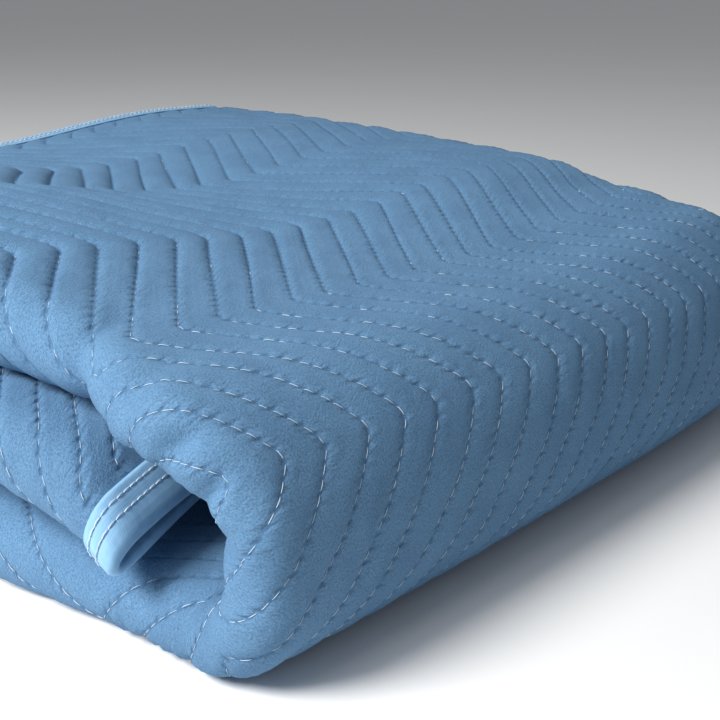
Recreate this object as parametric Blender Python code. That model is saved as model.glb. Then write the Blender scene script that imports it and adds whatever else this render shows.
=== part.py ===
"""Folded moving blanket: a quilted panel with taped edges, folded in half twice and then in thirds.

X runs along the front fold with the left end at -X, Y runs from the front fold at -Y to the back, Z is up.
The origin is on the floor under the middle of the folded blanket. Everything is first laid out flat:
s runs across the open blanket, t runs along it, and w is the height above its middle. The two foldings
then carry each flat point to its place: across() is the first folding, along() the second.
"""

import math

import bmesh
import bpy
import numpy as np

# The open blanket, 80 x 72 inches.
FLAT_ACROSS = 2.032
FLAT_ALONG = 1.829
PLY = 0.0084  # loft of one thickness between its quilting rows
PLY_PITCH = 0.0095  # from one thickness to the next in the folded stack
EDGE_PLY = 0.0044  # the panel is pressed to this under the tape
EDGE_SWELL = 0.025  # and swells back to its loft over this distance past it

# The edge tape, a U over the edge.
TAPE_WIDTH = 0.0195
TAPE_CLOTH = 0.0010
TAPE_GAP = 0.0004  # clear of the panel
TAPE_RIM = TAPE_CLOTH + TAPE_GAP  # how far the tape stands past the panel's edge
PRESSED = TAPE_WIDTH + 0.001  # the panel stays thin this far from the tape's rim
SWOLLEN = PRESSED + EDGE_SWELL

# The folded blanket.
DEPTH = 0.600  # from the front fold to the back
HEIGHT = 0.132  # at the front shoulder
SHOULDER = 0.0686  # outer radius of the upper part of the front fold
FRONT_FACE = 0.0130  # upright stretch below it
HEEL = HEIGHT - SHOULDER - FRONT_FACE  # outer radius of its lower part
BACK_RADIUS = 0.0462
DROOP = 0.060  # length over which the tucked end droops
DROOP_TURN = 0.27  # radians
TAIL = 0.037  # straight stretch after it, up to the edge
TOP_END_INSET = 0.012  # the top run stops this far short of the back
NOSE_RIGHT = 0.2465  # x about which the right-hand fold turns
EDGE_INNER = 0.2560  # x of the free side edge that lies nearest the inside
EDGE_SECOND = 0.2430  # x of the other free side edge
INNER_FOLD_INSET = 0.0020
SHORT = 0.016  # at the tucked end the inner thicknesses stop this far short of the outer one
SHORT_RUN = 0.300  # they come to lie so over this distance from the outer one
LAG_FROM = 1.660  # t at which they begin to fall short

# How far left the outermost cloth reaches, at stations measured along the fold path.
LEFT_END = (
    # metres along the path, x of the left end
    (0.000, -0.253),
    (0.320, -0.256),
    (0.465, -0.222),
    (0.535, -0.236),
    (0.600, -0.224),
    (0.720, -0.226),
    (0.900, -0.247),
    (1.300, -0.250),
    (1.620, -0.257),
    (1.740, -0.252),
    (1.806, -0.243),
    (1.829, -0.243),
)

# How the folded stack has settled.
BOW = 0.093  # curve of the front edge seen from above, per metre
LEAN = -0.018  # the stack falls to the right by this slope
RISE = 0.0190  # and is this much higher behind than at the shoulder
RISE_RUN = 0.430  # distance behind the shoulder over which it rises
CROWN = 0.0335  # swell of the left half behind the front shoulder
CROWN_RUN = 0.240  # distance behind the shoulder over which the swell comes up
CROWN_X = (-0.240, 0.070)  # full swell to the left of the first, none to the right of the second
CROWN_FALL = (0.280, 0.500)  # distance behind the shoulder where it goes down again
CROWN_LEFT_AT_BACK = 0.35  # share of it that is left at the back
RIGHT_SWELL = 0.024  # swell of the right end behind the front shoulder
RIGHT_SWELL_X = (-0.060, 0.200)  # none to the left of the first, full to the right of the second
RIGHT_SWELL_RUN = 0.120

# How finely the solids are cut.
PLY_CUTS = 4
WRAP_CUTS = 6
NOSE_CUTS = 3
TOP_CUTS = 6
SHOULDER_CUTS = 5
FACE_CUTS = 1
HEEL_CUTS = 4
BOTTOM_CUTS = 2
BACK_CUTS = 6
MIDDLE_CUTS = 3
DROOP_CUTS = 2
TAIL_CUTS = 0  # cut by the stations beside the tape

PANEL_BLUE = (0.155, 0.335, 0.600, 1.0)
TAPE_BLUE = (0.215, 0.430, 0.660, 1.0)

TAPE_INSIDE = EDGE_PLY / 2 + TAPE_GAP
TAPE_OUTSIDE = TAPE_INSIDE + TAPE_CLOTH
TAPE_PROFILE = (
    # distance from the tape's rim, height
    (TAPE_WIDTH, -TAPE_OUTSIDE),
    (0.0, -TAPE_OUTSIDE),
    (0.0, TAPE_OUTSIDE),
    (TAPE_WIDTH, TAPE_OUTSIDE),
    (TAPE_WIDTH, TAPE_INSIDE),
    (TAPE_CLOTH, TAPE_INSIDE),
    (TAPE_CLOTH, -TAPE_INSIDE),
    (TAPE_WIDTH, -TAPE_INSIDE),
)

WRAP_RADIUS = 1.5 * PLY_PITCH
NOSE_RADIUS = 0.5 * PLY_PITCH
OUTER_PLY = 3.5 * PLY_PITCH  # height of the outer ply's middle in the stack


def clear_scene():
    for obj in list(bpy.data.objects):
        bpy.data.objects.remove(obj)


def smooth(value):
    """0 below 0, 1 above 1, with level ends."""
    value = np.clip(value, 0.0, 1.0)
    return value * value * (3.0 - 2.0 * value)


def from_table(rows, at):
    """The second column read at a place in the first, with level stops at each row."""
    places = [row[0] for row in rows]
    values = [row[1] for row in rows]
    result = np.full(np.shape(at), values[0], dtype=float)
    for start, end, low, high in zip(places, places[1:], values, values[1:]):
        result = result + (high - low) * smooth((at - start) / (end - start))
    return result


def fold_path():
    """(length, turn) of each stretch of the outer ply's middle, from the back end of the top run."""
    half = 0.5 * PLY
    shoulder, heel, back = SHOULDER - half, HEEL - half, BACK_RADIUS - half
    top = DEPTH - TOP_END_INSET - SHOULDER
    bottom = DEPTH - HEEL - BACK_RADIUS
    front = shoulder * math.pi / 2 + FRONT_FACE + heel * math.pi / 2
    middle = FLAT_ALONG - top - front - bottom - back * math.pi
    return (
        (top, 0.0),
        (shoulder * math.pi / 2, math.pi / 2),
        (FRONT_FACE, 0.0),
        (heel * math.pi / 2, math.pi / 2),
        (bottom, 0.0),
        (back * math.pi, math.pi),
        (middle - DROOP - TAIL, 0.0),
        (DROOP, DROOP_TURN),
        (TAIL, 0.0),
    )


def along(t):
    """The second folding: y, z and the outward direction of the outer ply's middle at t."""
    t = np.asarray(t, dtype=float)
    y, z, heading = DEPTH / 2 - TOP_END_INSET, HEIGHT - 0.5 * PLY, math.pi
    found_y, found_z, found_heading = (np.zeros(t.shape) for _ in range(3))
    rows = fold_path()
    start = 0.0
    for index, (length, turn) in enumerate(rows):
        past_start = (t >= start) | (index == 0)
        before_end = (t < start + length) | (index == len(rows) - 1)
        here = past_start & before_end
        gone = t - start
        bend = turn / length
        if turn:
            angle = heading + bend * gone
            stretch_y = y + (np.sin(angle) - math.sin(heading)) / bend
            stretch_z = z - (np.cos(angle) - math.cos(heading)) / bend
            end_y = y + (math.sin(heading + turn) - math.sin(heading)) / bend
            end_z = z - (math.cos(heading + turn) - math.cos(heading)) / bend
        else:
            angle = heading + 0.0 * gone
            stretch_y = y + gone * math.cos(heading)
            stretch_z = z + gone * math.sin(heading)
            end_y = y + length * math.cos(heading)
            end_z = z + length * math.sin(heading)
        found_y = np.where(here, stretch_y, found_y)
        found_z = np.where(here, stretch_z, found_z)
        found_heading = np.where(here, angle, found_heading)
        y, z, heading, start = end_y, end_z, heading + turn, start + length
    return found_y, found_z, np.sin(found_heading), -np.cos(found_heading)


def wrap_centre(t):
    """x about which the left-hand fold turns."""
    return from_table(LEFT_END, t) + WRAP_RADIUS + PLY / 2


def section_rows(t):
    """The first folding, as stretches from the free edge at s = 0 to the one at s = FLAT_ACROSS.

    Each row is (length in s, x at its start, x at its end, height, turning radius); a bend has a radius,
    negative where it turns back inside another fold, and its height is the one it starts from.
    """
    left = wrap_centre(t)
    inner = left + INNER_FOLD_INSET
    zero = 0.0 * left
    wrap, nose = math.pi * WRAP_RADIUS, math.pi * NOSE_RADIUS
    outer = NOSE_RIGHT - left
    straight = FLAT_ACROSS - wrap - 2 * nose
    spread = (straight - outer) / (EDGE_INNER - left + NOSE_RIGHT - inner + EDGE_SECOND - inner)
    return (
        ((EDGE_INNER - left) * spread, EDGE_INNER + zero, left, 0.5 * PLY_PITCH, 0.0),
        (wrap + zero, left, left, 0.5 * PLY_PITCH, WRAP_RADIUS),
        (outer, left, NOSE_RIGHT + zero, OUTER_PLY, 0.0),
        (nose + zero, NOSE_RIGHT + zero, NOSE_RIGHT + zero, OUTER_PLY, NOSE_RADIUS),
        ((NOSE_RIGHT - inner) * spread, NOSE_RIGHT + zero, inner, 2.5 * PLY_PITCH, 0.0),
        (nose + zero, inner, inner, 2.5 * PLY_PITCH, -NOSE_RADIUS),
        ((EDGE_SECOND - inner) * spread, inner, EDGE_SECOND + zero, 1.5 * PLY_PITCH, 0.0),
    )


def across(s, t):
    """The first folding: x, height in the stack, and the direction of the cloth's face side at (s, t)."""
    s, t = np.broadcast_arrays(np.asarray(s, dtype=float), np.asarray(t, dtype=float))
    x, height, face_x, face_height = (np.zeros(s.shape) for _ in range(4))
    rows = section_rows(t)
    start = np.zeros(s.shape)
    for index, (length, x_from, x_to, level, radius) in enumerate(rows):
        here = ((s >= start) | (index == 0)) & ((s < start + length) | (index == len(rows) - 1))
        part = (s - start) / length
        if radius:
            turned = math.pi * part
            side = -1.0 if index != 3 else 1.0
            rise = 1.0 if index == 1 else -1.0
            bend_x = x_from + side * abs(radius) * np.sin(turned)
            bend_height = level + rise * abs(radius) * (1.0 - np.cos(turned))
            out = 1.0 if radius > 0.0 else -1.0
            bend_face_x = out * side * np.sin(turned)
            bend_face_height = -out * rise * np.cos(turned)
            x = np.where(here, bend_x, x)
            height = np.where(here, bend_height, height)
            face_x = np.where(here, bend_face_x, face_x)
            face_height = np.where(here, bend_face_height, face_height)
        else:
            run = x_to - x_from
            x = np.where(here, x_from + run * part, x)
            height = np.where(here, level, height)
            face_height = np.where(here, np.sign(run), face_height)
        start = start + length
    return x, height, face_x, face_height


def settled(x, y, z):
    """The stack as it has sunk and swollen: level at the floor, bowed at the front, crowned at the left."""
    behind = np.maximum(y - (-DEPTH / 2 + SHOULDER), 0.0)
    swell = smooth(behind / CROWN_RUN) * smooth((CROWN_X[1] - x) / (CROWN_X[1] - CROWN_X[0]))
    fall = smooth((behind - CROWN_FALL[0]) / (CROWN_FALL[1] - CROWN_FALL[0]))
    swell = swell * (1.0 - (1.0 - CROWN_LEFT_AT_BACK) * fall)
    right = smooth((x - RIGHT_SWELL_X[0]) / (RIGHT_SWELL_X[1] - RIGHT_SWELL_X[0]))
    rise = RISE * np.sin(np.minimum(behind / RISE_RUN, 1.0) * math.pi / 2)
    lift = CROWN * swell + RIGHT_SWELL * right * smooth(behind / RIGHT_SWELL_RUN) + rise + LEAN * x
    bow = BOW * x * x * (0.5 - y / DEPTH)
    return x, y + bow, z * (1.0 + lift / HEIGHT)


def lag(s, t):
    """How far the inner thicknesses fall short of the outer one towards the tucked end."""
    rows = section_rows(t)
    outer_end = rows[0][0] + rows[1][0] + rows[2][0]
    inside = smooth((rows[0][0] - s) / SHORT_RUN) + smooth((s - outer_end) / SHORT_RUN)
    return SHORT * inside * smooth((t - LAG_FROM) / (FLAT_ALONG - PRESSED - LAG_FROM))


def folded(s, t, w):
    """World points, one row each, of the flat points (s, t, w)."""
    s, t, w = np.broadcast_arrays(s, t, w)
    x, height, face_x, face_height = across(s, t)
    y, z, out_y, out_z = along(t - lag(s, t))
    away = height + w * face_height - OUTER_PLY
    return np.stack(settled(x + w * face_x, y + away * out_y, z + away * out_z), axis=-1)


def half_loft(s, t):
    """Half the panel's thickness: full inside, pressed flat under the tapes."""
    from_edge = np.minimum(np.minimum(s, FLAT_ACROSS - s), np.minimum(t, FLAT_ALONG - t))
    return 0.5 * (EDGE_PLY + (PLY - EDGE_PLY) * smooth((from_edge - PRESSED) / EDGE_SWELL))


def cut(start, end, cuts):
    """Even stations from start up to, but not with, end."""
    return list(np.linspace(start, end, cuts, endpoint=False))


def stations_across(from_edge, ply_cuts):
    """Stations of the section as (row, share of the row, metres on), the free ends cut at `from_edge`."""
    places = [(0, 0.0, metres) for metres in from_edge]
    places += [(0, share, 0.0) for share in cut(0.0, 1.0, ply_cuts)[1:]]
    for row, cuts in ((1, WRAP_CUTS), (2, ply_cuts), (3, NOSE_CUTS), (4, ply_cuts), (5, NOSE_CUTS)):
        places += [(row, share, 0.0) for share in cut(0.0, 1.0, cuts)]
    places += [(6, share, 0.0) for share in cut(0.0, 1.0, ply_cuts)]
    return places + [(6, 1.0, -metres) for metres in reversed(from_edge)]


def s_at(places, t):
    """s of each section station at each t, one line for each t."""
    rows = section_rows(t)
    starts = [np.zeros(t.shape)]
    for row in rows[:-1]:
        starts.append(starts[-1] + row[0])
    return np.stack([starts[row] + share * rows[row][0] + metres for row, share, metres in places], axis=1)


def stations_along(from_edge):
    """Stations of t from one end of the panel to the other, the ends cut at `from_edge`."""
    cuts = (TOP_CUTS, SHOULDER_CUTS, FACE_CUTS, HEEL_CUTS, BOTTOM_CUTS, BACK_CUTS, MIDDLE_CUTS)
    cuts += (DROOP_CUTS, TAIL_CUTS)
    places = list(from_edge)
    start = 0.0
    for index, ((length, _), count) in enumerate(zip(fold_path(), cuts)):
        places += cut(start, start + length, count)[0 if index else 1 :]
        start += length
    return np.array(places + [FLAT_ALONG - metres for metres in reversed(from_edge)])


def tube(name, points, cap):
    """A closed mesh from rings of points; cap pairs up a ring's points into the faces of an end."""
    rings, around, _ = points.shape
    faces = []
    for ring in range(rings - 1):
        for place in range(around):
            following = (place + 1) % around
            a, b = ring * around + place, ring * around + following
            faces.append((a, b, b + around, a + around))
    last = (rings - 1) * around
    for face in cap:
        faces.append(tuple(reversed(face)))
        faces.append(tuple(last + place for place in face))
    mesh = bpy.data.meshes.new(name)
    mesh.from_pydata(points.reshape(-1, 3).tolist(), [], faces)
    shell = bmesh.new()
    shell.from_mesh(mesh)
    bmesh.ops.recalc_face_normals(shell, faces=shell.faces)
    shell.to_mesh(mesh)
    shell.free()
    mesh.shade_smooth()
    obj = bpy.data.objects.new(name, mesh)
    bpy.context.scene.collection.objects.link(obj)
    return obj


def strip_cap(count):
    """Faces between a ring's first half and its second half, which runs back along it."""
    return [(i, i + 1, 2 * count - 2 - i, 2 * count - 1 - i) for i in range(count - 1)]


def quilted_panel():
    places = stations_across((TAPE_RIM, PRESSED, SWOLLEN), PLY_CUTS)
    t = stations_along((TAPE_RIM, PRESSED, SWOLLEN))
    s = s_at(places, t)
    when = np.broadcast_to(t[:, None], s.shape)
    loft = half_loft(s, when)
    under = folded(s, when, -loft)
    over = folded(s, when, loft)
    rings = np.concatenate([under, over[:, ::-1]], axis=1)
    return tube("quilted_panel", rings, strip_cap(s.shape[1]))


TAPE_CAP = ((0, 1, 6, 7), (1, 2, 5, 6), (2, 3, 4, 5))


def end_tape(name, edge_t, inward):
    """The tape over one end of the panel, from side tape to side tape."""
    places = stations_across((TAPE_WIDTH + TAPE_GAP, SWOLLEN), PLY_CUTS)
    s = s_at(places, np.array([edge_t]))[0]
    lines = [folded(s, edge_t + inward * away, height) for away, height in TAPE_PROFILE]
    return tube(name, np.stack(lines, axis=1)[::inward], TAPE_CAP)


def side_tape(name, edge_s, inward):
    """The tape over one side edge of the panel, along its whole length."""
    t = stations_along((0.0, PRESSED, SWOLLEN))
    lines = [folded(edge_s + inward * away, t, height) for away, height in TAPE_PROFILE]
    return tube(name, np.stack(lines, axis=1), TAPE_CAP)


def material(name, colour, roughness):
    made = bpy.data.materials.new(name)
    made.use_nodes = True
    shader = made.node_tree.nodes["Principled BSDF"]
    shader.inputs["Base Color"].default_value = colour
    shader.inputs["Roughness"].default_value = roughness
    shader.inputs["Metallic"].default_value = 0.0
    return made


def build():
    clear_scene()
    felt = material("brushed_felt", PANEL_BLUE, 0.95)
    woven = material("woven_tape", TAPE_BLUE, 0.80)
    quilted_panel().data.materials.append(felt)
    tapes = (
        end_tape("end_tape_back", 0.0, 1),
        end_tape("end_tape_tucked", FLAT_ALONG, -1),
        side_tape("side_tape_inner", 0.0, 1),
        side_tape("side_tape_second", FLAT_ACROSS, -1),
    )
    for tape in tapes:
        tape.data.materials.append(woven)


build()
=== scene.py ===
# %% [markdown]
# # A quilted moving blanket, folded
# The real blanket is one flat quilt: two brushed felt faces with padding between them, sewn through in
# parallel zig-zag rows and bound round the edge with a woven tape. It lies folded in half twice across and
# then in thirds along. A cloth simulation could fold a flat sheet, but twelve thicknesses would take it
# minutes, and no row would land where it should. This lesson lays every piece out flat first, where rows,
# tapes and stitches are simple, and then carries each flat point through the same two foldings as the
# solids. That way the rows run round the folds as they do on cloth, and the thread lies in its seams.

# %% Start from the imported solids
import itertools
import math

import bpy
import numpy as np
from mathutils import Matrix, Vector


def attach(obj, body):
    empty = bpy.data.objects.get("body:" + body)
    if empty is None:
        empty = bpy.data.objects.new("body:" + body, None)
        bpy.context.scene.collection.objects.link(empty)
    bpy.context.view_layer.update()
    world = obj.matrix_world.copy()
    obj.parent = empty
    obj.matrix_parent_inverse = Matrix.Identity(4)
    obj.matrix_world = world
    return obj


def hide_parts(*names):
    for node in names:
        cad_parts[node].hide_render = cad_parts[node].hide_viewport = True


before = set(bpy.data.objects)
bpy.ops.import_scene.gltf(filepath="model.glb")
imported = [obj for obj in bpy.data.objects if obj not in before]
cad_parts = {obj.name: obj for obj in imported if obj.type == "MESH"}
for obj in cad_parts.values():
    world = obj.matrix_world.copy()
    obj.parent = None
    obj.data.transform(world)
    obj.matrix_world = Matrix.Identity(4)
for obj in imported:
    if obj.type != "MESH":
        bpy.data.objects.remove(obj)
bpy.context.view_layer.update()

# %% [markdown]
# ## The two foldings
# s runs across the open blanket, t along it, and w is the height above its middle. The first folding turns
# (s, w) into x and a height within a stack of four plies. The second carries that stack over the front,
# along the floor, round the back and in again. Last, the stack settles: it bows at the front, swells at
# the left and rises to the back, and stays level at the floor. A lattice or bones could bend a flat mesh
# too, but plain sums keep the cloth's length, and the solids were made by the same ones. Three things are
# added here that the solids leave out: the tucked end lies askew with its inner plies drawn further back,
# its hollow sags, and the right shoulder is a little fuller.

# %% Sizes of the open and the folded blanket
FLAT_ACROSS = 2.032
FLAT_ALONG = 1.829
PLY = 0.0084
PLY_PITCH = 0.0095
WRAP_RADIUS = 1.5 * PLY_PITCH
NOSE_RADIUS = 0.5 * PLY_PITCH
OUTER_PLY = 3.5 * PLY_PITCH
DEPTH = 0.600
HEIGHT = 0.132
SHOULDER = 0.0686
FRONT_FACE = 0.0130
HEEL = HEIGHT - SHOULDER - FRONT_FACE
BACK_RADIUS = 0.0462
DROOP, DROOP_TURN, TAIL = 0.060, 0.27, 0.037
TOP_END_INSET = 0.012
NOSE_RIGHT = 0.2465
EDGE_INNER, EDGE_SECOND = 0.2560, 0.2430
INNER_FOLD_INSET = 0.0020
SHORT, SHORT_RUN = 0.044, 0.300  # how far the inner plies of the tucked end are drawn back
LAG_FROM, LAG_TO = 1.620, FLAT_ALONG - 0.0205
SKEW, SKEW_RUN, SKEW_FROM = 0.0284, 0.108, 1.500  # how far that end lies askew
SAG, SAG_FROM = 0.56, 1.780  # and the share of its hollow that sags flat
LEFT_END = (
    # metres along the path, x of the left end
    (0.000, -0.253),
    (0.320, -0.256),
    (0.465, -0.222),
    (0.535, -0.236),
    (0.600, -0.224),
    (0.720, -0.226),
    (0.900, -0.247),
    (1.300, -0.250),
    (1.620, -0.257),
    (1.740, -0.252),
    (1.806, -0.243),
    (1.829, -0.243),
)
BOW, LEAN = 0.093, -0.018
RISE, RISE_RUN = 0.0190, 0.430
CROWN, CROWN_RUN = 0.0335, 0.240
# each pair from here on is where a change starts, and its run
CROWN_X, CROWN_FALL, CROWN_LEFT_AT_BACK = (0.070, -0.310), (0.280, 0.220), 0.35
RIGHT_SWELL, RIGHT_SWELL_X, RIGHT_SWELL_RUN = 0.024, (-0.060, 0.260), 0.120
RIGHT_LIFT, RIGHT_LIFT_X = 0.0115, (0.05, 0.18)  # how much fuller than the solid the right shoulder is
RIGHT_LIFT_FRONT, RIGHT_LIFT_BACK = (-0.300, 0.055), (-0.150, -0.060)


# %% Helpers for soft steps and tables
def smooth(value):
    """0 below 0, 1 above 1, with level ends."""
    value = np.clip(value, 0.0, 1.0)
    return value * value * (3.0 - 2.0 * value)


def ramp(value, start, run):
    """0 before start and 1 after start + run; a run below 0 goes the other way."""
    return smooth((value - start) / run)


def from_table(rows, at):
    """The second column read at a place in the first, with level stops at each row."""
    result = np.full(np.shape(at), rows[0][1], dtype=float)
    for (start, low), (end, high) in zip(rows, rows[1:]):
        result = result + (high - low) * smooth((at - start) / (end - start))
    return result


# %% The second folding: along the path
def fold_path():
    """(length, turn) of each stretch of the outer ply's middle, from the back end of the top run."""
    half = 0.5 * PLY
    shoulder, heel, back = SHOULDER - half, HEEL - half, BACK_RADIUS - half
    top = DEPTH - TOP_END_INSET - SHOULDER
    bottom = DEPTH - HEEL - BACK_RADIUS
    front = shoulder * math.pi / 2 + FRONT_FACE + heel * math.pi / 2
    middle = FLAT_ALONG - top - front - bottom - back * math.pi
    return (
        (top, 0.0),
        (shoulder * math.pi / 2, math.pi / 2),
        (FRONT_FACE, 0.0),
        (heel * math.pi / 2, math.pi / 2),
        (bottom, 0.0),
        (back * math.pi, math.pi),
        (middle - DROOP - TAIL, 0.0),
        (DROOP, DROOP_TURN),
        (TAIL, 0.0),
    )


def moved(y, z, heading, bend, gone):
    """Place and heading after some metres of a stretch that turns by bend a metre."""
    angle = heading + bend * gone
    if not bend:
        return y + gone * math.cos(heading), z + gone * math.sin(heading), angle
    run_y = (np.sin(angle) - math.sin(heading)) / bend
    return y + run_y, z - (np.cos(angle) - math.cos(heading)) / bend, angle


def along(t):
    """y, z and the outward direction of the outer ply's middle at t."""
    begin, start = (DEPTH / 2 - TOP_END_INSET, HEIGHT - 0.5 * PLY, math.pi), 0.0
    found = np.zeros((3, *t.shape))
    rows = fold_path()
    for index, (length, turn) in enumerate(rows):
        here = ((t >= start) | (index == 0)) & ((t < start + length) | (index == len(rows) - 1))
        found = np.where(here, moved(*begin, turn / length, t - start), found)
        begin, start = moved(*begin, turn / length, length), start + length
    y, z, heading = found
    return y, z, np.sin(heading), -np.cos(heading)


path_ends = np.cumsum([length for length, _ in fold_path()])
SHOULDER_AT = path_ends[0]
BOTTOM_AT, BACK_AT, MIDDLE_AT = path_ends[3:6]
print("the path turns at", [round(v, 3) for v in path_ends])


# %% The first folding: across the section
WRAP = math.pi * WRAP_RADIUS  # cloth in the wide turn round the left end
NOSE = math.pi * NOSE_RADIUS  # and in each of the two tight turns


def section_rows(t):
    """Stretches of the section from the free edge at s = 0 to the one at s = FLAT_ACROSS.

    Each row is (length in s, x at its start, x at its end, height, turning radius).
    """
    left = from_table(LEFT_END, t) + WRAP_RADIUS + PLY / 2
    inner = left + INNER_FOLD_INSET
    zero = 0.0 * left
    outer = NOSE_RIGHT - left
    straight = FLAT_ACROSS - WRAP - 2 * NOSE
    spread = (straight - outer) / (EDGE_INNER - left + NOSE_RIGHT - inner + EDGE_SECOND - inner)
    return (
        ((EDGE_INNER - left) * spread, EDGE_INNER + zero, left, 0.5 * PLY_PITCH, 0.0),
        (WRAP + zero, left, left, 0.5 * PLY_PITCH, WRAP_RADIUS),
        (outer, left, NOSE_RIGHT + zero, OUTER_PLY, 0.0),
        (NOSE + zero, NOSE_RIGHT + zero, NOSE_RIGHT + zero, OUTER_PLY, NOSE_RADIUS),
        ((NOSE_RIGHT - inner) * spread, NOSE_RIGHT + zero, inner, 2.5 * PLY_PITCH, 0.0),
        (NOSE + zero, inner, inner, 2.5 * PLY_PITCH, -NOSE_RADIUS),
        ((EDGE_SECOND - inner) * spread, inner, EDGE_SECOND + zero, 1.5 * PLY_PITCH, 0.0),
    )


def across(s, t):
    """x, height in the stack, and the direction of the cloth's face side at (s, t)."""
    found = np.zeros((4, *s.shape))
    rows = section_rows(t)
    start = np.zeros(s.shape)
    for index, (length, x_from, x_to, level, radius) in enumerate(rows):
        here = ((s >= start) | (index == 0)) & ((s < start + length) | (index == len(rows) - 1))
        part = (s - start) / length
        if radius:
            size, out = abs(radius), math.copysign(1.0, radius)
            side = -1.0 if index != 3 else 1.0  # only the turn at the right bulges to the right
            rise = 1.0 if index == 1 else -1.0  # only the wrap goes up
            sine, cosine = np.sin(math.pi * part), np.cos(math.pi * part)
            x, height = x_from + side * size * sine, level + rise * size * (1.0 - cosine)
            place = (x, height, out * side * sine, -out * rise * cosine)
        else:
            place = (x_from + (x_to - x_from) * part, level, 0.0, np.sign(x_to - x_from))
        found = np.where(here, np.stack(np.broadcast_arrays(*place)), found)
        start = start + length
    return found


widths = [float(row[0]) for row in section_rows(0.5)]
print("across the middle, flat stretches and turns take", [round(v, 3) for v in widths], "m")


# %% How the stack settles
def settled(x, y, z):
    """The same point once the front has bowed and the stack has swollen from the floor up."""
    behind = np.maximum(y - (-DEPTH / 2 + SHOULDER), 0.0)
    swell = smooth(behind / CROWN_RUN) * ramp(x, *CROWN_X)
    swell = swell * (1.0 - (1.0 - CROWN_LEFT_AT_BACK) * ramp(behind, *CROWN_FALL))
    right = ramp(x, *RIGHT_SWELL_X)
    rise = RISE * np.sin(np.minimum(behind / RISE_RUN, 1.0) * math.pi / 2)
    lift = CROWN * swell + RIGHT_SWELL * right * smooth(behind / RIGHT_SWELL_RUN) + rise + LEAN * x
    fuller = ramp(x, *RIGHT_LIFT_X) * ramp(y, *RIGHT_LIFT_FRONT) * ramp(y, *RIGHT_LIFT_BACK)
    lift = lift + RIGHT_LIFT * fuller
    bow = BOW * x * x * (0.5 - y / DEPTH)
    return x, y + bow, z * (1.0 + lift / HEIGHT)


def lag(s, t, x):
    """How far the cloth falls short of its flat place towards the tucked end, which lies askew."""
    rows = section_rows(t)
    outer_end = rows[0][0] + rows[1][0] + rows[2][0]
    inside = smooth((rows[0][0] - s) / SHORT_RUN) + smooth((s - outer_end) / SHORT_RUN)
    from_left = np.clip((x - from_table(LEFT_END, t)) / SKEW_RUN, 0.0, 1.0)
    short = SHORT * inside * smooth((t - LAG_FROM) / (LAG_TO - LAG_FROM))
    return short + SKEW * np.sin(from_left * math.pi / 2) * smooth((t - SKEW_FROM) / (LAG_TO - SKEW_FROM))


def folded(s, t, w):
    """World points, one row each, of the flat points (s, t, w)."""
    s, t, w = (np.asarray(v, dtype=float) for v in np.broadcast_arrays(s, t, w))
    x, height, face_x, face_height = across(s, t)
    y, z, out_y, out_z = along(t - lag(s, t, x))
    sag = SAG * np.clip((t - SAG_FROM) / (FLAT_ALONG - SAG_FROM), 0.0, 1.0) ** 2
    away = height + w * face_height - OUTER_PLY - (height - 0.5 * PLY_PITCH) * sag
    return np.stack(settled(x + w * face_x, y + away * out_y, z + away * out_z), axis=-1)


def floored(points):
    """The same points, with none below the floor."""
    points[..., 2] = np.maximum(points[..., 2], 0.0)
    return points


print("the flat cloth's middle lies at", folded(FLAT_ACROSS / 2, FLAT_ALONG / 2, 0.0).round(3))


# %% [markdown]
# ## The quilting rows
# A quilting machine sews all its rows at once while the cloth wanders from side to side under the needles,
# so every row has the same zig-zag. Rows are counted by a number r that is whole on a seam, and the seam
# of row r lies at q = ROW_START + r * ROW + zig(t), where q is the place across the outermost ply. Rows
# drawn only in a material would have no valleys, so the mesh, the colours and the stitches all follow r.

# %% Where the rows run
ROW = 0.024  # from seam to seam along the front fold
ROW_START = -0.2590
ZIG = 0.0766  # how far a row wanders to the side
LEG = 0.0958  # and over what length before it turns back
TURN_TWO = 0.4820  # where the second turn lies along the path
TURN_ONE, FIRST_LEG = TURN_TWO - LEG, 0.112  # the leg before the first turn is longer
EVEN_UNTIL = 0.80  # from here on the legs are spread evenly up to the last turn
LAST_TURN, LAST_COUNT = 1.803, 16.0  # which lies just before the tucked end
ROUNDING = 0.035  # a turn is rounded over this share of a leg each way
DRIFT, DRIFT_FROM, DRIFT_RUN = 0.010, 1.30, 0.15  # the rows creep to the right towards the tucked end
WANDER = (
    # unevenness of the sewing: size, length of a swing, step from row to row
    (0.0009, 0.37, 0.618),
    (0.0005, 0.13, 0.27),
)


def turns(t):
    """The number of turns sewn so far, whole at each turn."""
    there = 2.0 + (EVEN_UNTIL - TURN_TWO) / LEG
    pace = (LAST_COUNT - there) / (LAST_TURN - EVEN_UNTIL)
    counted = np.where(t < EVEN_UNTIL, 2.0 + (t - TURN_TWO) / LEG, there + (t - EVEN_UNTIL) * pace)
    return np.where(t < TURN_ONE, 1.0 + (t - TURN_ONE) / FIRST_LEG, counted)


def zig(t):
    """Side step of every row at t, with slightly rounded turns."""
    total = 0.0
    for shift in (-ROUNDING, 0.0, ROUNDING):
        total = total + 1.0 - 2.0 * np.abs((turns(t) + shift) % 2.0 - 1.0)
    return ZIG / 2 * total / 3.0


def drift(t):
    """How far the rows have crept to the right at t."""
    return DRIFT * ramp(t, DRIFT_FROM, DRIFT_RUN)


def wander(r, t):
    """How far row r strays from its even course at t."""
    return sum(size * np.sin(2 * math.pi * (t / swing + step * r)) for size, swing, step in WANDER)


def seam(r, t):
    """q of row number r at t."""
    return ROW_START + ROW * r + zig(t) + drift(t) + wander(r, t)


def s_of(q, t):
    """s of the place q across the outermost ply."""
    rows = section_rows(t)
    return q + rows[0][0] + rows[1][0] - rows[2][1]


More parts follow.
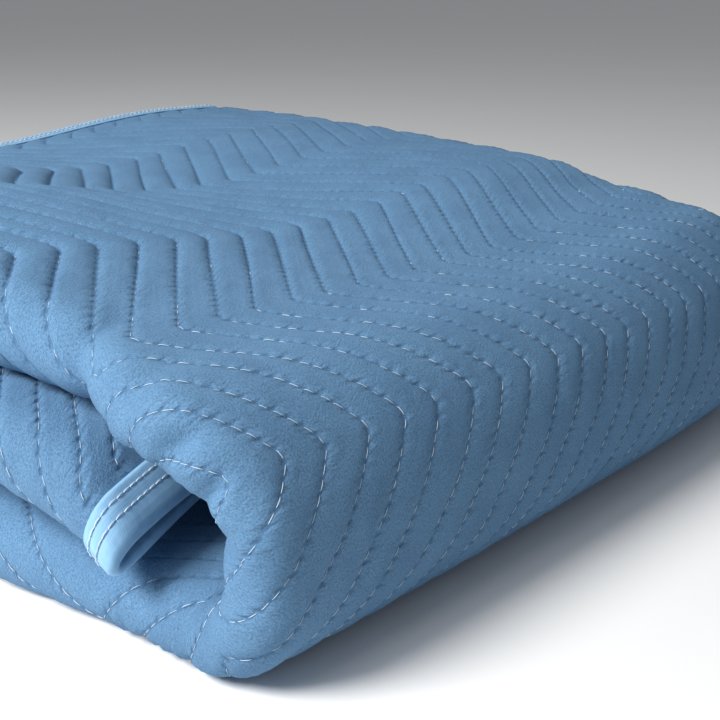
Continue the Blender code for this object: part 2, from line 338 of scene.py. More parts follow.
fine_t = np.linspace(0.0, FLAT_ALONG, 4001)
sewn = np.concatenate([[0.0], np.cumsum(np.hypot(np.diff(fine_t), np.diff(zig(fine_t))))])
apart = ROW / math.hypot(1, ZIG / LEG)
print(f"one row is {sewn[-1]:.2f} m of seam, and the rows lie {apart * 1000:.1f} mm apart")

# %% [markdown]
# ## The quilted panel
# The panel is one closed shell. Its columns follow the rows, so each seam is a real valley between two
# puffs. Only cloth that shows is cut finely: eight columns a row and a station every few millimetres. Inner
# plies, which nobody sees, are cut in large pieces. Every large piece also takes in the corners of small
# ones beside it, so that the shell stays closed. A plain grid with a displacement would need many more
# faces for the same valleys, because its edges would cut across the seams.

# %% Stations along and across
BLOCK = 16  # the largest piece is this many cells each way
FRACTIONS = (0.0, 0.055, 0.15, 0.31, 0.5, 0.69, 0.85, 0.945)  # columns between two seams
FIRST_ROW, LAST_ROW = -3, 25
ROW_COLUMNS = np.array([n + f for n in range(FIRST_ROW, LAST_ROW) for f in FRACTIONS])
TAPE_WIDTH = 0.0195
RIM = 0.0014  # the tape stands this far past the panel's edge
PRESSED = TAPE_WIDTH + 0.0005  # the panel is pressed thin this far from its edge
BESIDE_TAPE = (PRESSED, PRESSED + 0.006, PRESSED + 0.014)  # columns where it swells again
FIRST_COLUMNS, SECOND_COLUMNS, BEND_COLUMNS, LAST_COLUMNS = 12, 20, 8, 16  # on plies out of sight
FIRST_GAP, LAST_GAP = 0.02, 0.03
EDGE_STEP = 0.010
ALONG_STATIONS = (
    # metres along, station number
    (RIM, 0),
    (0.706, 224),
    (1.190, 272),
    (1.350, 320),
    (1.560, 352),
    (FLAT_ALONG - RIM, 432),
)
t_line = np.interp(
    np.arange(ALONG_STATIONS[-1][1] + 1),
    [number for _, number in ALONG_STATIONS],
    [place for place, _ in ALONG_STATIONS],
)


def share(count):
    """Even steps from 0 up to 1, without the 1, as a column."""
    return (np.arange(count) / count)[:, None]


def columns(t):
    """s of every column at each t."""
    rows = section_rows(t)
    starts = np.cumsum([row[0] for row in rows], axis=0)
    middle = s_of(seam(ROW_COLUMNS[:, None], t[None, :]), t[None, :])
    low_end = s_of(seam(FIRST_ROW, t), t)
    high_end = s_of(seam(LAST_ROW, t), t)
    near = np.array([RIM, *BESIDE_TAPE])[:, None]
    low = near[-1:] + FIRST_GAP + share(FIRST_COLUMNS) * (low_end - near[-1] - FIRST_GAP)
    second = high_end + share(SECOND_COLUMNS) * (starts[4] - high_end)
    bend = starts[4] + share(BEND_COLUMNS) * (starts[5] - starts[4])
    last = starts[5] + share(LAST_COLUMNS) * (FLAT_ACROSS - PRESSED - LAST_GAP - starts[5])
    edge = FLAT_ACROSS - np.array([*reversed(BESIDE_TAPE), EDGE_STEP, RIM])[:, None]
    flat = np.ones(t.shape)[None, :]
    return np.concatenate([near * flat, low, middle, second, bend, last, edge * flat])


s_grid = columns(t_line)
first_aligned = 1 + len(BESIDE_TAPE) + FIRST_COLUMNS
aligned = len(ROW_COLUMNS)
t_grid = np.broadcast_to(t_line, s_grid.shape)
q_grid = s_grid - s_of(0.0, t_grid)
r_grid = (q_grid - ROW_START - zig(t_grid) - drift(t_grid)) / ROW
r_grid[first_aligned : first_aligned + aligned] = ROW_COLUMNS[:, None]
print("lattice", s_grid.shape, "columns by stations")

# %% [markdown]
# The height of each face above the panel's middle comes from the loft between seams, the tape's pressure
# at the edges, and soft creases put in where the folding has gathered the cloth. Puffs could be
# blown up by a cloth simulation, but a formula gives each one its drawn height and costs nothing.

# %% Loft, creases and unevenness
SEAM_HALF = 0.0026  # half the panel's thickness in a seam
CREST = 0.0040  # height of a puff on cloth that is drawn tight
SLACK_CREST = 0.0057  # and on the slack cloth of the top
PUFF_FLATNESS, SLACK_FLATNESS = 2.6, 2.0
HIDDEN = 0.0036  # half thickness where plies press on each other
SEWN_THIN, THIN_RUN = 0.0021, 0.012  # half thickness under the tape, and the run over which it recovers
SLACK_TOP, SLACK_LEFT = (0.47, -0.08), (0.16, -0.20)  # where slack cloth starts along and across
OPEN_LEFT, OPEN_RIGHT = (-0.30, 0.02), (0.275, -0.02)  # where cloth that shows starts and ends
PUFF_UNEVENNESS = 0.10
CREASES = (
    # from q, t to q, t; width; depth (a ridge is negative)
    (-0.262, 0.468, -0.190, 0.462, 0.0080, 0.0050),
    (-0.262, 0.500, -0.215, 0.505, 0.0120, -0.0025),
    (-0.245, 0.585, -0.222, 0.640, 0.0070, 0.0045),
    (-0.250, 0.545, -0.215, 0.560, 0.0070, 0.0030),
    (-0.240, 0.546, -0.226, 0.556, 0.0048, 0.0042),
    (-0.238, 0.579, -0.221, 0.575, 0.0050, 0.0052),
    (-0.236, 0.594, -0.226, 0.592, 0.0060, -0.0018),
    (-0.232, 0.520, -0.208, 0.512, 0.0060, 0.0022),
)


def crease(q, t):
    """How deep the creases press the cloth down at (q, t)."""
    total = 0.0 * q
    for q1, t1, q2, t2, width, depth in CREASES:
        run_q, run_t = q2 - q1, t2 - t1
        part = np.clip(((q - q1) * run_q + (t - t1) * run_t) / (run_q**2 + run_t**2), 0.0, 1.0)
        off = np.hypot(q - q1 - part * run_q, t - t1 - part * run_t)
        total = total + depth * np.exp(-((off / width) ** 2)) * (0.35 + 0.65 * np.sin(math.pi * part))
    return total


def uneven(q, t):
    """A slow swing between -1 and 1, different from place to place."""
    a = np.sin(41.0 * q + 23.0 * t + 0.6) + np.sin(-27.0 * q + 51.0 * t + 2.1)
    b = np.sin(83.0 * q + 61.0 * t + 4.0) + np.sin(14.0 * q - 97.0 * t + 1.2)
    return 0.3 * a + 0.2 * b


def face_height(r, q, t):
    """Height of the face side above the panel's middle."""
    slack = ramp(t, *SLACK_TOP)
    flatness = PUFF_FLATNESS + (SLACK_FLATNESS - PUFF_FLATNESS) * slack
    swell = 1.0 - np.abs(1.0 - 2.0 * (r % 1.0)) ** flatness
    open_cloth = ramp(q, *OPEN_LEFT) * ramp(q, *OPEN_RIGHT)
    loose = CREST + (SLACK_CREST - CREST) * slack * ramp(q, *SLACK_LEFT)
    crest = HIDDEN + (loose * (1.0 + PUFF_UNEVENNESS * uneven(q, t)) - HIDDEN) * open_cloth
    quilted = SEAM_HALF + (crest - SEAM_HALF) * swell
    height = HIDDEN + (quilted - HIDDEN) * open_cloth
    return height - crease(q, t)


def pressed(height, s, t):
    """The height after the tape has pressed the panel's edges thin."""
    from_edge = np.minimum(np.minimum(s, FLAT_ACROSS - s), np.minimum(t, FLAT_ALONG - t))
    return SEWN_THIN + (height - SEWN_THIN) * ramp(from_edge, PRESSED, THIN_RUN)


upper = pressed(face_height(r_grid, q_grid, t_grid), s_grid, t_grid)
lower = pressed(HIDDEN, s_grid, t_grid)
face_points = floored(folded(s_grid, t_grid, upper))
back_points = folded(s_grid, t_grid, -lower)
print(f"the face is {upper.min() * 1000:.1f} to {upper.max() * 1000:.1f} mm above the panel's middle")


# %% How large the pieces may be
PEEP_FROM, PEEP_LEFT = 1.45, -0.15  # one can look in past this t, left of this q
PEEP_BESIDE = 0.060  # and this far on from the end of the wrap
FADE_LEFT, FADE_RIGHT = 0.110, 0.070  # middling pieces reach this far past the left and right ends
TUCKED_FROM = 1.70
MARGIN = 0.01


def piece_limits():
    """The largest piece allowed at each cell, for the face side and for the back."""
    cell_q, cell_t = q_grid[:-1, :-1], t_grid[:-1, :-1]
    left = section_rows(cell_t)[2][1]
    wrap_end = left - WRAP
    wrapped = cell_q < left + 0.004
    shows = (cell_q > wrap_end - 0.006) & (cell_q < NOSE_RIGHT + 0.022)
    ends = shows & (wrapped | (cell_q > NOSE_RIGHT - 0.012))
    turning = (cell_t > SHOULDER_AT - MARGIN) & (cell_t < BOTTOM_AT + MARGIN)
    turning |= (cell_t > BACK_AT - MARGIN) & (cell_t < MIDDLE_AT + MARGIN)
    face = np.full(cell_q.shape, BLOCK)
    face[turning] = 4
    face[cell_t > TUCKED_FROM] = 8
    beside = (cell_q > wrap_end - FADE_LEFT) & (cell_q < NOSE_RIGHT + FADE_RIGHT)
    face[beside & (wrapped | (cell_q > NOSE_RIGHT))] = 4
    face[(cell_q > wrap_end - PEEP_BESIDE) & wrapped] = 1
    face[shows & (cell_t < BOTTOM_AT + MARGIN)] = 1
    face[shows & (cell_t > BACK_AT) & (cell_t < MIDDLE_AT)] = 1
    face[ends] = 1
    face[shows & (cell_t > PEEP_FROM) & (cell_q < PEEP_LEFT)] = 1
    back = np.full(cell_q.shape, 8)
    back[turning] = 4
    back[wrapped & (cell_q > wrap_end)] = 2
    back[(cell_q > NOSE_RIGHT - 0.004) & (cell_q < NOSE_RIGHT + 0.02)] = 1
    bend = first_aligned + aligned + SECOND_COLUMNS
    for limits in (face, back):
        for some, most in ((slice(bend, bend + BEND_COLUMNS), 2), (slice(4), 4), (slice(-4, None), 4)):
            limits[some] = np.minimum(limits[some], most)
    return face, back


def pieces_of(limits):
    """Square pieces of cells as (column, station, cells each way)."""
    across_cells, along_cells = limits.shape
    waiting = [(i, j, BLOCK) for i in range(0, across_cells, BLOCK) for j in range(0, along_cells, BLOCK)]
    found = []
    while waiting:
        i, j, size = waiting.pop()
        if size == 1 or limits[i : i + size, j : j + size].min() >= size:
            found.append((i, j, size))
        else:
            half = size // 2
            waiting += [(i + di, j + dj, half) for di in (0, half) for dj in (0, half)]
    return found


def outlines(pieces):
    """Each piece's outline, with the corners of smaller pieces beside it, and which corners are used."""
    used = np.zeros(s_grid.shape, bool)
    for i, j, size in pieces:
        used[i : i + size + 1 : size, j : j + size + 1 : size] = True
    rings = []
    for i, j, size in pieces:
        ring = [(i, n) for n in range(j, j + size)] + [(n, j + size) for n in range(i, i + size)]
        ring += [(i + size, n) for n in range(j + size, j, -1)] + [(n, j) for n in range(i + size, i, -1)]
        rings.append([corner for corner in ring if used[corner]])
    return rings, used


def closing(face_used, back_used):
    """Narrow faces round the panel's edge, from the face side to the back."""
    last_i, last_j = (count - 1 for count in face_used.shape)
    lines = [([(i, n) for n in range(last_j + 1)], i == 0) for i in (0, last_i)]
    lines += [([(n, j) for n in range(last_i + 1)], j == last_j) for j in (0, last_j)]
    for line, turned in lines:
        shared = [k for k, corner in enumerate(line) if face_used[corner] and back_used[corner]]
        for start, end in zip(shared, shared[1:]):
            front = [(0, *c) for c in line[start : end + 1] if face_used[c]]
            behind = [(1, *c) for c in reversed(line[start : end + 1]) if back_used[c]]
            yield (front + behind)[::-1] if turned else front + behind


# %% Build the panel
def in_scene(name, data):
    """An object of that name in the scene."""
    obj = bpy.data.objects.new(name, data)
    bpy.context.scene.collection.objects.link(obj)
    return obj


def new_piece(name, points, faces, maps=None):
    """A mesh object at the origin; maps are UV maps as {name: (u, v) of each point}."""
    mesh = bpy.data.meshes.new(name)
    mesh.from_pydata(np.asarray(points, dtype=float).tolist(), [], faces)
    corner = np.zeros(len(mesh.loops), dtype=np.int32)
    mesh.loops.foreach_get("vertex_index", corner)
    for map_name, places in (maps or {}).items():
        layer = mesh.uv_layers.new(name=map_name)
        layer.data.foreach_set("uv", np.asarray(places, dtype=np.float32)[corner].ravel())
    mesh.shade_smooth()
    return in_scene(name, mesh)


def build_panel():
    """The face side, the back and the narrow faces between them, as one mesh."""
    limits = piece_limits()
    (face_rings, face_used), (back_rings, back_used) = (outlines(pieces_of(most)) for most in limits)
    used = np.stack([face_used, back_used])
    number = np.full(used.shape, -1)
    number[used] = np.arange(used.sum())
    rings = [[(0, *c) for c in ring] for ring in face_rings]
    rings += [[(1, *c) for c in reversed(ring)] for ring in back_rings]
    rings += closing(face_used, back_used)
    faces = [[int(number[c]) for c in ring] for ring in rings]
    rows = np.stack([r_grid, np.interp(t_grid, fine_t, sewn)], axis=-1)
    cloth = np.stack([q_grid, t_grid], axis=-1)
    maps = {name: np.stack([places, places])[used] for name, places in (("rows", rows), ("cloth", cloth))}
    return new_piece("quilted_panel_cloth", np.stack([face_points, back_points])[used], faces, maps)


panel = build_panel()
panel.data.calc_loop_triangles()
print("panel:", len(panel.data.polygons), "faces,", len(panel.data.loop_triangles), "triangles")

# %% [markdown]
# ## The edge tapes
# Each tape is a strip of smooth woven cloth folded over the edge and sewn down through both sides. Its
# section is drawn once, as a U with a rounded rim and a shallow groove under each row of stitches, and
# then run along the edge. A curve with a bevel profile would do on a straight edge, but it would twist at
# the folds, so every corner of the section is carried through the two foldings instead.

# %% The tape's section
TAPE_SEWN = (0.0093, 0.0151)  # distance of the two stitch rows from the rim
TAPE_OUT = 0.0034  # half the tape's thickness over the panel
TAPE_CLOTH = 0.0009
TAPE_ROUND = 0.046  # once round the section, for the weave
GROOVE, GROOVE_HALF = 0.0003, 0.0013
RIM_ANGLE, RIM_CORNERS = 0.35, 7
END_GAP = 0.0004  # between an end tape and the side tape it meets
FLAT_RINGS, TURN_RINGS, SIDE_RINGS = 120, 14, 460  # rings on each flat stretch, each turn, and a side
EDGES = (
    # tape, its edge, the way it runs, the way in, gap before the first stitch, faces sewn on
    ("end_tape_back", 0.0, "s", 1.0, 0.022, (1.0,)),
    ("end_tape_tucked", FLAT_ALONG, "s", -1.0, 0.022, (1.0,)),
    ("side_tape_inner", 0.0, "t", 1.0, 0.004, (1.0, -1.0)),
    ("side_tape_second", FLAT_ACROSS, "t", -1.0, 0.004, (1.0, -1.0)),
)


def tape_section():
    """(distance from the rim, height) round the tape: outside from below to above, then back inside."""
    top = [(TAPE_WIDTH, TAPE_OUT - GROOVE), (0.0178, TAPE_OUT)]
    for sewn_at in reversed(TAPE_SEWN):
        top.append((sewn_at + GROOVE_HALF, TAPE_OUT))
        top.append((sewn_at, TAPE_OUT - GROOVE))
        top.append((sewn_at - GROOVE_HALF, TAPE_OUT))
    angles = np.linspace(RIM_ANGLE, math.pi - RIM_ANGLE, RIM_CORNERS)
    rim = [(TAPE_OUT * (1 - math.sin(a)), TAPE_OUT * math.cos(a)) for a in angles]
    below = [(away, -height) for away, height in reversed(top)]
    inside = TAPE_OUT - TAPE_CLOTH
    hollow = [(TAPE_WIDTH, -inside + GROOVE), (0.0016, -inside), (0.0011, 0.0), (0.0016, inside)]
    return top + rim + below + hollow + [(TAPE_WIDTH, inside - GROOVE)]


def tube_faces(rings, around):
    """Faces round a closed tube of rings of points, and one over each end."""
    faces = []
    for ring in range(0, (rings - 1) * around, around):
        for place in range(around):
            a, b = ring + place, ring + (place + 1) % around
            faces.append((a, b, b + around, a + around))
    last = range((rings - 1) * around, rings * around)
    return [*faces, tuple(range(around - 1, -1, -1)), tuple(last)]


def on_edge(way, run, fixed, w):
    """World points along an edge that runs the s way or the t way."""
    return folded(run, fixed, w) if way == "s" else folded(fixed, run, w)


def ring_places(way, edge):
    """Where the rings of a tape lie; one over an end of the blanket has more of them at the turns."""
    if way == "t":
        return np.linspace(0.0, FLAT_ALONG, SIDE_RINGS)
    places, start = [], 0.0
    for length, _, _, _, radius in section_rows(np.array([edge])):
        length = float(length[0])
        places += list(start + length * share(TURN_RINGS if radius else FLAT_RINGS)[:, 0])
        start += length
    places = [place for place in places if TAPE_WIDTH < place < FLAT_ACROSS - TAPE_WIDTH - 0.002]
    return np.array([TAPE_WIDTH + END_GAP, *places[1:], FLAT_ACROSS - TAPE_WIDTH - END_GAP])


def tape(name, edge, way, inward):
    """The section of a tape, run along its edge."""
    run, section = ring_places(way, edge), tape_section()
    if (way == "s") == (inward > 0):
        run = run[::-1]  # from the other end, so that the faces point outwards on every edge
    lines = [floored(on_edge(way, run, edge + inward * away, height)) for away, height in section]
    round_it = np.linspace(0.0, 1.0, len(section)) * TAPE_ROUND
    maps = np.stack(np.broadcast_arrays(run[:, None], round_it[None, :]), axis=-1)
    points = np.stack(lines, axis=1).reshape(-1, 3)
    return new_piece(name, points, tube_faces(len(run), len(section)), {"tape": maps.reshape(-1, 2)})


tapes = {}
for name, edge, way, inward, _, _ in EDGES:
    tapes[name] = tape(name + "_cloth", edge, way, inward)
    print(name, len(tapes[name].data.polygons), "faces")

# %% [markdown]
# ## The stitches
# Quilting thread is off-white and fine. Each stitch shows as a short dash that dips into the seam at both
# ends, and many are half buried in the brushed nap. The two rows on each tape are sewn closer, with thicker
# thread. A dashed line in the material would look flat close up, and a curve for every row would never dip.
# So one stitch is modelled, guide points say where each one lies and which way it runs, and geometry nodes
# set the stitch on every point.


# %% One stitch
QUILTING_STITCH = (0.0056, 0.00034)  # length and thickness
TAPE_STITCH = (0.0058, 0.00080)  # longer than its pitch, so each one dips under the next


def stitch_mesh(name, length, thickness):
    """A short bowed thread along X, four-sided, with its ends dipping down."""
    rings = ((-0.5, -0.9, 0.45), (-0.3, 0.15, 0.95), (0.0, 0.40, 1.0), (0.3, 0.15, 0.95), (0.5, -0.9, 0.45))
    corners = ((0.0, 1.0), (-0.9, 0.0), (0.0, -1.0), (0.9, 0.0))
    points = []
    for place, drop, size in rings:
        half = 0.5 * thickness * size
        points += [(place * length, side * half, drop * thickness + up * half) for side, up in corners]
    mesh = bpy.data.meshes.new(name)
    mesh.from_pydata(points, [], tube_faces(len(rings), len(corners)))
    mesh.shade_smooth()
    return bpy.data.objects.new(name, mesh)


# %% Where the quilting stitches lie
STITCH_PITCH, PITCH_SPREAD = 0.0066, 0.0003
THREAD_PROUD = 0.00026  # how far an unsunk stitch lies above the seam
SINK, SINK_SPREAD, SINK_SWING = 0.00016, 0.00024, 0.00024  # how deep the nap buries it, and how unevenly
SINK_ON_TOP, SINK_TOP = 0.00040, (0.55, -0.12)  # deeper on the top
SINK_ON_FRONT, SINK_FRONT, SINK_RIGHT = 0.00030, (0.61, -0.07), (-0.20, 0.16)  # and over the shoulder
SINK_LEAST, SINK_MOST = -0.0002, 0.0010
TURN_STEP = 0.0004  # a small step for measuring directions
OFF_FLOOR = 0.002
rng = np.random.default_rng(7)


def unit(vectors):
    """The same directions, each one metre long."""
    return vectors / np.linalg.norm(vectors, axis=-1, keepdims=True)


def frame_at(q, t, w):
    """Points on the face side with the directions along the row and out of the cloth."""
    here, step = folded(s_of(q, t), t, w), TURN_STEP
    slope = (zig(t + step) - zig(t - step)) / (2 * step)
    ahead = folded(s_of(q + slope * step, t + step), t + step, w)
    before = folded(s_of(q - slope * step, t - step), t - step, w)
    out = folded(s_of(q, t), t, w + step) - here
    return here, unit(ahead - before), unit(out)


def sink_of(r, q, t):
    """How deep each stitch of row r lies in the nap."""
    sink = rng.normal(SINK, SINK_SPREAD, q.shape) + SINK_SWING * uneven(3 * q + r, 2 * t)
    sink = sink + SINK_ON_TOP * ramp(t, *SINK_TOP)
    sink = sink + SINK_ON_FRONT * ramp(t, *SINK_FRONT) * ramp(q, *SINK_RIGHT)
    return np.clip(sink, SINK_LEAST, SINK_MOST)


def off_floor(found):
    """One set of places, ways along and ways out, without those under the blanket."""
    points, forward, out = (np.concatenate(group) for group in zip(*found))
    keep = points[:, 2] > OFF_FLOOR
    return points[keep], forward[keep], out[keep]


def quilting_guides():
    """Guide points for every stitch on cloth that shows."""
    found = []
    for r in range(FIRST_ROW, LAST_ROW + 1):
        run = np.arange(STITCH_PITCH / 2, sewn[-1], STITCH_PITCH)
        run = run + rng.normal(0.0, PITCH_SPREAD, run.shape)
        t = np.interp(run, sewn, fine_t)
        q = seam(float(r), t)
        left = section_rows(t)[2][1]
        shows = (q > left - WRAP * 0.95) & (q < NOSE_RIGHT + 0.013)
        under = ((t > BOTTOM_AT) & (t < BACK_AT)) | (t > MIDDLE_AT)
        near_left = np.where(t > PEEP_FROM, left + 0.05, left + 0.002)
        shows &= ~under | (q < near_left) | (q > NOSE_RIGHT - 0.003)
        shows &= (t > PRESSED + 0.004) & (t < FLAT_ALONG - PRESSED - 0.004)
        q, t = q[shows], t[shows]
        seam_height = pressed(face_height(np.full(q.shape, float(r)), q, t), s_of(q, t), t)
        found.append(frame_at(q, t, seam_height + THREAD_PROUD - sink_of(r, q, t)))
    return off_floor(found)


quilting_places = quilting_guides()
print(len(quilting_places[0]), "quilting stitches show")


# %% Where the tape stitches lie
TAPE_STITCH_PITCH = 0.0046
TAPE_THREAD_AT = TAPE_OUT + 0.0001


def tape_guides():
    """Guide points for both rows of stitches on every tape."""
    found = []
    for _, edge, way, inward, gap, sides in EDGES:
        length = FLAT_ACROSS if way == "s" else FLAT_ALONG
        run = np.arange(gap, length - gap, TAPE_STITCH_PITCH)
        for away, side in itertools.product(TAPE_SEWN, sides):
            fixed = edge + inward * away
            w = side * TAPE_THREAD_AT
            here = on_edge(way, run, fixed, w)
            forward = on_edge(way, run + TURN_STEP, fixed, w) - on_edge(way, run - TURN_STEP, fixed, w)
            out = on_edge(way, run, fixed, w + side * TURN_STEP) - here
            found.append((here, unit(forward), unit(out)))
    return off_floor(found)


tape_places = tape_guides()
print(len(tape_places[0]), "tape stitches")


# %% [markdown]
# The tree below takes guide points and a stitch, turns each stitch along its row with its back out of
# the cloth, varies its length a little, and gives back one plain mesh. A Python loop could copy the stitch
# as well, but the tree does it in a moment and keeps its sizes as named inputs.


# %% Set the stitches with geometry nodes
def add_node(tree, kind, settings=None, values=None):
    """A new node, its settings first and then the values of its sockets."""
    made = tree.nodes.new(kind)
    for key, value in (settings or {}).items():
        setattr(made, key, value)
    for key, value in (values or {}).items():
        made.inputs[key].default_value = value
    return made


def sewing_tree():
    """Geometry nodes that set a stitch on every guide point."""
    tree = bpy.data.node_groups.new("set_stitches", "GeometryNodeTree")
    for name, way, kind in (
        ("Guides", "INPUT", "Geometry"),
        ("Stitch", "INPUT", "Object"),
        ("Thread", "INPUT", "Material"),
        ("Unevenness", "INPUT", "Float"),
        ("Stitches", "OUTPUT", "Geometry"),
    ):
        tree.interface.new_socket(name, in_out=way, socket_type="NodeSocket" + kind)

    given = add_node(tree, "NodeGroupInput")
    points = add_node(tree, "GeometryNodeMeshToPoints")
    info = add_node(tree, "GeometryNodeObjectInfo")
    direction, vector = "GeometryNodeInputNamedAttribute", {"data_type": "FLOAT_VECTOR"}
    forward = add_node(tree, direction, vector, {"Name": "along"})
    out = add_node(tree, direction, vector, {"Name": "out"})
    align = "FunctionNodeAlignRotationToVector"
    first = add_node(tree, align, {"axis": "X"})
    then = add_node(tree, align, {"axis": "Z", "pivot_axis": "X"})
    vary = add_node(tree, "FunctionNodeRandomValue", {"data_type": "FLOAT"}, {"Seed": 3, 3: 1.0})
    least = add_node(tree, "ShaderNodeMath", {"operation": "SUBTRACT"}, {0: 1.0})
    size = add_node(tree, "ShaderNodeCombineXYZ", {}, {"Y": 1.0, "Z": 1.0})
    place = add_node(tree, "GeometryNodeInstanceOnPoints")
    real = add_node(tree, "GeometryNodeRealizeInstances")
    paint = add_node(tree, "GeometryNodeSetMaterial")
    given_back = add_node(tree, "NodeGroupOutput")
    for source, output, target, socket in (
        (given, "Guides", points, "Mesh"),
        (points, "Points", place, "Points"),
        (given, "Stitch", info, "Object"),
        (info, "Geometry", place, "Instance"),
        (forward, "Attribute", first, "Vector"),
        (first, "Rotation", then, "Rotation"),
        (out, "Attribute", then, "Vector"),
        (then, "Rotation", place, "Rotation"),
        (given, "Unevenness", least, 1),
        (least, 0, vary, 2),
        (vary, 1, size, "X"),
        (size, 0, place, "Scale"),
        (place, "Instances", real, "Geometry"),
        (real, "Geometry", paint, "Geometry"),
        (given, "Thread", paint, "Material"),
        (paint, "Geometry", given_back, "Stitches"),
    ):
        tree.links.new(source.outputs[output], target.inputs[socket])
    return tree


set_stitches = sewing_tree()
print("the tree has", len(set_stitches.nodes), "nodes")


def sew(name, guides, stitch, thread, unevenness):
    """One mesh of stitches set on guide points."""
    points, forward, out = guides
    mesh = bpy.data.meshes.new(name + "_guides")
    mesh.from_pydata(points.tolist(), [], [])
    for label, values in (("along", forward), ("out", out)):
        layer = mesh.attributes.new(label, "FLOAT_VECTOR", "POINT")
        layer.data.foreach_set("vector", values.astype(np.float32).ravel())
    guide = in_scene(name + "_guides", mesh)
    adder = guide.modifiers.new("sew", "NODES")
    adder.node_group = set_stitches
    sockets = {item.name: item.identifier for item in set_stitches.interface.items_tree}
    adder[sockets["Stitch"]] = stitch
    adder[sockets["Thread"]] = thread
    adder[sockets["Unevenness"]] = unevenness
    bpy.context.view_layer.update()
    ready = guide.evaluated_get(bpy.context.evaluated_depsgraph_get())
    made = bpy.data.meshes.new_from_object(ready)
    guide.modifiers.remove(adder)
    bpy.data.objects.remove(guide)
    made.name = name
    return in_scene(name, made)


# %% [markdown]
# ## Finishes
# Shader sums are written as plain Python with a small class that wraps a socket, so that a formula reads
# like a formula. Node groups could hold the sums too, but they are harder to read back. Everything is drawn
# in metres: the felt in the flat cloth's own map, the seams in a map that counts rows and the length sewn.


# %% Sums on sockets
class Wire:
    """A shader value that can be used in sums."""

    def __init__(self, tree, socket):
        self.tree, self.socket = tree, socket

    def math(self, operation, *others):
        node = self.tree.nodes.new("ShaderNodeMath")
        node.operation = operation
        for place, value in enumerate((self, *others)):
            if isinstance(value, Wire):
                self.tree.links.new(value.socket, node.inputs[place])
            else:
                node.inputs[place].default_value = value
        return Wire(self.tree, node.outputs[0])

    def __add__(self, other):
        return self.math("ADD", other)

    def __sub__(self, other):
        return self.math("SUBTRACT", other)

    def __rsub__(self, other):
        return self.math("MULTIPLY", -1.0).math("ADD", other)

    def __mul__(self, other):
        return self.math("MULTIPLY", other)

    __radd__, __rmul__ = __add__, __mul__


class Finish:
    """A material under construction."""

    def __init__(self, name):
        self.material = bpy.data.materials.new(name)
        self.material.use_nodes = True
        self.tree = self.material.node_tree
        self.shader = self.tree.nodes["Principled BSDF"]

    def node(self, kind, settings=None, values=None):
        made = add_node(self.tree, kind, settings)
        for key, value in (values or {}).items():
            self.put(made.inputs[key], value)
        return made

    def put(self, socket, value):
        if isinstance(value, Wire):
            self.tree.links.new(value.socket, socket)
        else:
            socket.default_value = value

    def out(self, socket, kind, settings=None, values=None):
        """One output of a new node, ready for sums."""
        return Wire(self.tree, self.node(kind, settings, values).outputs[socket])

    def uv(self, name):
        return self.out(0, "ShaderNodeUVMap", {"uv_map": name})

    def split(self, vector):
        made = self.node("ShaderNodeSeparateXYZ", values={0: vector})
        return Wire(self.tree, made.outputs[0]), Wire(self.tree, made.outputs[1])

    def joined(self, x, y, z=0.0):
        return self.out(0, "ShaderNodeCombineXYZ", {}, {0: x, 1: y, 2: z})

    def place(self):
        return self.out("Object", "ShaderNodeTexCoord")

    def noise(self, vector, scale, detail=2.0, roughness=0.5):
        values = {"Vector": vector, "Scale": scale, "Detail": detail, "Roughness": roughness}
        return self.out("Fac", "ShaderNodeTexNoise", {}, values)

    def stretch(self, vector, low, high, to_low=0.0, to_high=1.0):
        values = {0: vector, 1: low, 2: high, 3: to_low, 4: to_high}
        return self.out(0, "ShaderNodeMapRange", {"interpolation_type": "SMOOTHSTEP"}, values)

    def mix(self, amount, colour_a, colour_b):
        return self.out(2, "ShaderNodeMix", {"data_type": "RGBA"}, {0: amount, 6: colour_a, 7: colour_b})

    def bump(self, height, distance, strength=1.0):
        values = {"Height": height, "Distance": distance, "Strength": strength}
        made = self.node("ShaderNodeBump", values=values)
        self.tree.links.new(made.outputs[0], self.shader.inputs["Normal"])

    def set(self, **inputs):
        for name, value in inputs.items():
            self.put(self.shader.inputs[name.replace("_", " ")], value)


# %% [markdown]
# The felt is brushed: short fibres lie over one another in all directions, paler at their tips, so the
# colour is cloudy at a few millimetres and streaked at less than one. The seams are painted darker, most at
# each stitch hole, as painted shade in the valleys, and each stitch pulls a small dimple. Real hair on so
# large a cloth would be slow and would not export, so the nap is colour, sheen and bump.

# %% Brushed felt
FELT_BLUE = (0.108, 0.226, 0.378, 1.0)
FELT_PALE = (0.158, 0.304, 0.484, 1.0)
FELT_DEEP = (0.055, 0.124, 0.236, 1.0)
ROW_APART = ROW * 0.78  # from seam to seam, square to them
DIMPLE = 0.0009  # how far a stitch hole widens its seam
SEAM_EDGE = (-0.0003, 0.0012)  # the painted shade of a seam fades out over this distance
PULL_REACH, GATHER_REACH = 0.0052, 0.0085  # how far from the seam a stitch pulls and gathers the nap
FIBRE_DETAIL = (1.0, 4.0, 0.65)  # scale, detail and roughness of the streaks
GRAIN_SCALE, BROAD_SCALE, PATCH_SCALE = 1150.0, 30.0, 70.0  # clouds to the metre


